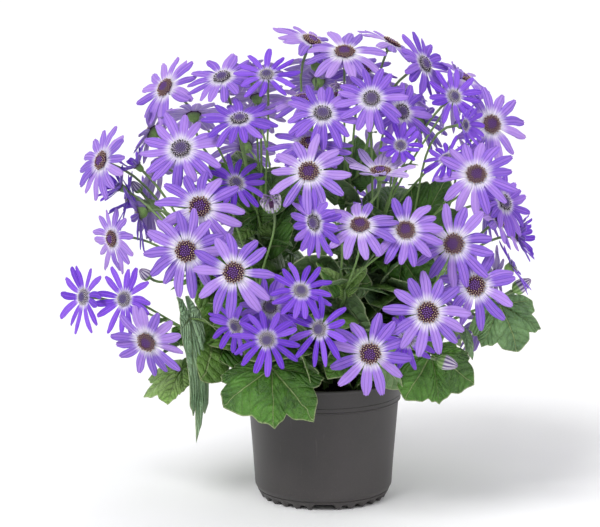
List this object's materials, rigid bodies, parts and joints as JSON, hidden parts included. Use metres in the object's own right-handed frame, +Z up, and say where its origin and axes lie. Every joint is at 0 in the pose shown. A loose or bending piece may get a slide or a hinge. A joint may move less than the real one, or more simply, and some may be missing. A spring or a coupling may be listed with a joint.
{
  "type": "potted florist cineraria",
  "caption": "Bushy potted daisy plant: violet ray flowers with dark or grey discs on forked green stems over toothed leaves, in a tapered dark grey nursery pot",
  "frame": {"origin": "The pot's axis at the level of the surface it stands on, at the centre of the flat pad under the pot.", "axes": "+Z up along the pot's axis, -Y to the front of the plant, +X to the right of someone who faces it."},
  "size_m": [0.3962, 0.3039, 0.3982],
  "materials": {
    "pot_plastic": "satin, slightly worn moulded plastic",
    "potting_soil": "dark, crumbly and dull",
    "green_stem": "soft green, finely hairy",
    "green_leaf": "matte to soft sheen, veined",
    "violet_petal": "soft velvet sheen, paler at the disc"
  },
  "bodies": {
    "root": {"flowers_01": "violet_petal", "flowers_02": "violet_petal", "flowers_03": "violet_petal", "flowers_04": "violet_petal", "flowers_05": "violet_petal", "flowers_06": "violet_petal", "flowers_07": "violet_petal", "flowers_08": "violet_petal", "flowers_09": "violet_petal", "flowers_10": "violet_petal", "flowers_11": "violet_petal", "flowers_12": "violet_petal", "flowers_13": "violet_petal", "flowers_14": "violet_petal", "flowers_15": "violet_petal", "flowers_16": "violet_petal", "flowers_17": "violet_petal", "flowers_18": "violet_petal", "flowers_19": "violet_petal", "flowers_20": "violet_petal", "flowers_21": "violet_petal", "flowers_22": "violet_petal", "flowers_23": "violet_petal", "flowers_24": "violet_petal", "flowers_25": "violet_petal", "flowers_26": "violet_petal", "flowers_27": "violet_petal", "flowers_28": "violet_petal", "flowers_29": "violet_petal", "flowers_30": "violet_petal", "flowers_31": "violet_petal", "flowers_32": "violet_petal", "flowers_33": "violet_petal", "flowers_34": "violet_petal", "flowers_35": "violet_petal", "flowers_36": "violet_petal", "flowers_37": "violet_petal", "flowers_38": "violet_petal", "flowers_39": "violet_petal", "flowers_40": "violet_petal", "flowers_41": "violet_petal", "flowers_42": "violet_petal", "flowers_43": "violet_petal", "flowers_44": "violet_petal", "leaf_back": "green_leaf", "leaf_back_left": "green_leaf", "leaf_back_right": "green_leaf", "leaf_front_left": "green_leaf", "leaf_front_right": "green_leaf", "leaf_left_hanging": "green_leaf", "leaf_left_low": "green_leaf", "leaf_right": "green_leaf", "leaf_right_low": "green_leaf", "leafy_stem_back": "green_stem", "leafy_stem_front": "green_stem", "leafy_stem_front_left": "green_stem", "leafy_stem_left": "green_stem", "leafy_stem_right": "green_stem", "pot": "pot_plastic", "soil": "potting_soil"}
  },
  "joints": []
}
